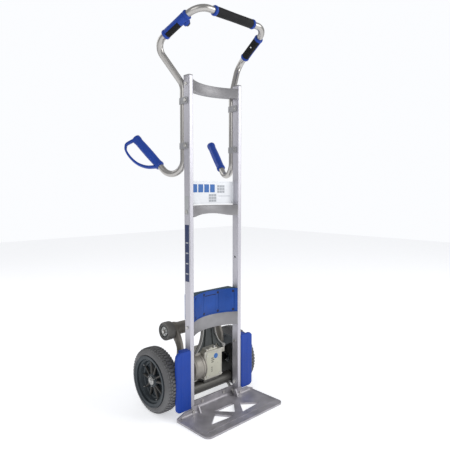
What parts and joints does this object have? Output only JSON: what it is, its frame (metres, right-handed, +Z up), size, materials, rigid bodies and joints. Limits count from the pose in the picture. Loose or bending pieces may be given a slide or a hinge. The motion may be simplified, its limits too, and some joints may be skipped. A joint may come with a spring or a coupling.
{
  "type": "stair climbing trolley",
  "caption": "Powered stair climbing hand truck: two-rail frame with loop handle, toe plate, large free wheels and a motor-driven swinging pair of small support wheels.",
  "frame": {"origin": "on the ground, midway between the rails, in the plane of their front faces", "axes": "+Z up along the rails, -Y to the front where the toe plate reaches, +X to the right seen from the front"},
  "size_m": [0.5102, 0.4674, 1.5455],
  "materials": {
    "rail_aluminium": "satin",
    "cast_aluminium": "satin",
    "black_plastic": "matt",
    "plated_steel": "satin",
    "white_panel": "gloss",
    "cover_blue": "satin",
    "dark_screw": "satin",
    "circuit_board": "satin",
    "battery_blue": "satin",
    "switch_red": "gloss",
    "guard_blue": "satin",
    "toe_casting": "raw cast",
    "handle_tube": "polished",
    "rubber_black": "matt",
    "collar_blue": "satin",
    "grip_blue": "satin",
    "grip_black": "matt",
    "button_black": "gloss",
    "lens_white": "gloss",
    "clamp_grey": "satin",
    "lower_grip_blue": "satin",
    "gear_casting": "satin",
    "motor_casting": "satin",
    "gear_bronze": "machined",
    "gear_steel": "machined",
    "dark_casting": "satin",
    "plate_black": "satin",
    "dark_tube": "satin",
    "lift_casting": "raw cast",
    "grey_tyre": "matt",
    "support_hub": "machined",
    "rim_dark": "satin",
    "hub_cap": "bright"
  },
  "bodies": {
    "frame": {"rail_left": "rail_aluminium", "rail_right": "rail_aluminium", "rail_caps": "black_plastic", "crossbar_top": "cast_aluminium", "crossbar_middle": "cast_aluminium", "crossbar_lower": "cast_aluminium", "frame_bolts": "plated_steel", "name_panel": "white_panel", "drive_cover": "cover_blue", "cover_screws": "dark_screw", "control_housing": "black_plastic", "control_board": "circuit_board", "charge_socket": "black_plastic", "wheel_guard_left": "guard_blue", "wheel_guard_right": "guard_blue", "toe_plate": "toe_casting", "toe_plate_bolts": "plated_steel", "side_tube_left": "handle_tube", "side_tube_right": "handle_tube", "top_tube": "handle_tube", "top_grip": "rubber_black", "grip_collars": "collar_blue", "control_grip_shell": "grip_blue", "control_grip_inlay": "grip_black", "plain_grip_shell": "grip_blue", "plain_grip_inlay": "grip_black", "status_light": "lens_white", "handle_clamps": "clamp_grey", "lower_grip_left": "lower_grip_blue", "lower_grip_right": "lower_grip_blue", "gearbox_housing": "gear_casting", "gearbox_cover": "gear_casting", "gearbox_screws": "plated_steel", "motor_housing": "motor_casting", "hanger": "dark_casting", "axle_plates": "plate_black", "chassis_tube": "dark_tube", "main_axle": "plated_steel", "axle_nuts": "plated_steel"},
    "main_wheel_left": {"main_tyre_left": "grey_tyre", "main_rim_left": "rim_dark", "wheel_bearings_left": "gear_steel", "hub_cap_left": "hub_cap"},
    "main_wheel_right": {"main_tyre_right": "grey_tyre", "main_rim_right": "rim_dark", "wheel_bearings_right": "gear_steel", "hub_cap_right": "hub_cap"},
    "lift": {"lift_gear": "gear_steel", "lift_sleeve": "gear_steel", "lift_frame": "lift_casting"},
    "support_wheel_left": {"support_tyre_left": "grey_tyre", "support_hub_left": "support_hub"},
    "support_wheel_right": {"support_tyre_right": "grey_tyre", "support_hub_right": "support_hub"},
    "motor_shaft": {"motor_rotor": "plated_steel", "drive_pinion": "gear_bronze"},
    "direction_rocker": {"direction_switch": "button_black"},
    "battery": {"battery_pack": "battery_blue"},
    "latch_button": {"battery_latch": "black_plastic"},
    "power_rocker": {"power_switch": "switch_red"}
  },
  "joints": [
    {"name": "main_wheel_left_spin", "type": "hinge", "parent": "frame", "child": "main_wheel_left", "pos_m": [0, 0.133, 0.13], "axis": [1, 0, 0], "continuous": true},
    {"name": "main_wheel_right_spin", "type": "hinge", "parent": "frame", "child": "main_wheel_right", "pos_m": [0, 0.133, 0.13], "axis": [1, 0, 0], "continuous": true},
    {"name": "lift_turn", "type": "hinge", "parent": "frame", "child": "lift", "pos_m": [0, 0.133, 0.13], "axis": [-1, 0, 0], "range_deg": [0, 190]},
    {"name": "motor_turn", "type": "hinge", "parent": "frame", "child": "motor_shaft", "pos_m": [0, 0.06604, 0.16208], "axis": [-1, 0, 0], "range_deg": [-665, 0]},
    {"name": "support_wheel_left_spin", "type": "hinge", "parent": "lift", "child": "support_wheel_left", "pos_m": [0, 0.147, 0.31], "axis": [1, 0, 0], "continuous": true},
    {"name": "support_wheel_right_spin", "type": "hinge", "parent": "lift", "child": "support_wheel_right", "pos_m": [0, 0.147, 0.31], "axis": [1, 0, 0], "continuous": true},
    {"name": "direction_rock", "type": "hinge", "parent": "frame", "child": "direction_rocker", "pos_m": [-0.17494, -0.0311, 1.4838], "axis": [-0.4219, -0.4832, -0.7671], "range_deg": [-6, 6], "stiffness_Nm_per_rad": 0.5},
    {"name": "battery_slide", "type": "slide", "parent": "frame", "child": "battery", "axis": [0, 0, 1], "range_m": [0, 0.09]},
    {"name": "latch_press", "type": "slide", "parent": "battery", "child": "latch_button", "axis": [0, -1, 0], "range_m": [0, 0.003], "stiffness_N_per_m": 400},
    {"name": "power_rock", "type": "hinge", "parent": "frame", "child": "power_rocker", "pos_m": [0.06, 0.095, 0.381], "axis": [1, 0, 0], "range_deg": [0, 12]}
  ],
  "couplings": [
    {"joint": "motor_turn", "follows": "lift_turn", "ratio": -3.5}
  ]
}
